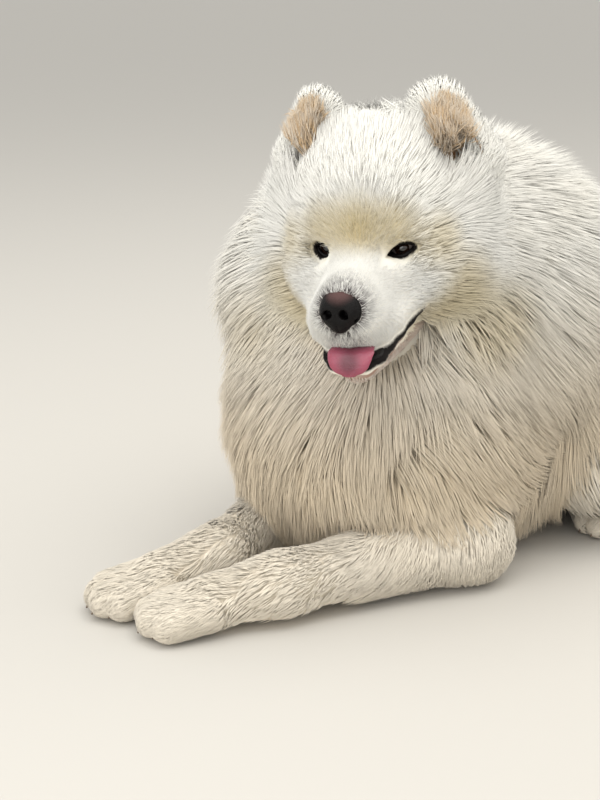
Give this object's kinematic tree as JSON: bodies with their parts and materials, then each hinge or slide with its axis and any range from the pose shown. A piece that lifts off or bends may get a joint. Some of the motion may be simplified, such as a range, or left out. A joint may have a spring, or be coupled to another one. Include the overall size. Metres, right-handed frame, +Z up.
{
  "type": "samoyed dog",
  "caption": "Life-size samoyed lying on its chest with its forelegs stretched forward and its head turned, mouth open.",
  "frame": {"origin": "on the floor, below the centre of the whole dog's bounding box", "axes": "+Z up, -Y the way the body and the forelegs point, +X the dog's left side"},
  "size_m": [0.5354, 0.991, 0.5081],
  "materials": {
    "long_white_fur": "soft matt hair",
    "short_cream_fur": "soft matt hair",
    "nose_leather": "moist satin",
    "tongue": "moist satin",
    "eye": "wet gloss",
    "claw": "satin horn"
  },
  "bodies": {
    "root": {"claw_fore_left_1": "claw", "claw_fore_left_2": "claw", "claw_fore_left_3": "claw", "claw_fore_left_4": "claw", "claw_fore_right_1": "claw", "claw_fore_right_2": "claw", "claw_fore_right_3": "claw", "claw_fore_right_4": "claw", "claw_hind_left_1": "claw", "claw_hind_left_2": "claw", "claw_hind_left_3": "claw", "claw_hind_left_4": "claw", "claw_hind_right_1": "claw", "claw_hind_right_2": "claw", "claw_hind_right_3": "claw", "claw_hind_right_4": "claw", "ear_left": "long_white_fur", "ear_right": "long_white_fur", "eye_left": "eye", "eye_right": "eye", "foreleg_left": "short_cream_fur", "foreleg_right": "short_cream_fur", "head": "long_white_fur", "hindleg_left": "short_cream_fur", "hindleg_right": "short_cream_fur", "lower_jaw": "long_white_fur", "lower_lip": "nose_leather", "neck": "long_white_fur", "nose": "nose_leather", "paw_fore_left": "short_cream_fur", "paw_fore_right": "short_cream_fur", "paw_hind_left": "short_cream_fur", "paw_hind_right": "short_cream_fur", "tail_base": "long_white_fur", "tail_middle": "long_white_fur", "tail_tip": "long_white_fur", "thigh_left": "long_white_fur", "thigh_right": "long_white_fur", "tongue": "tongue", "torso": "long_white_fur"}
  },
  "joints": []
}
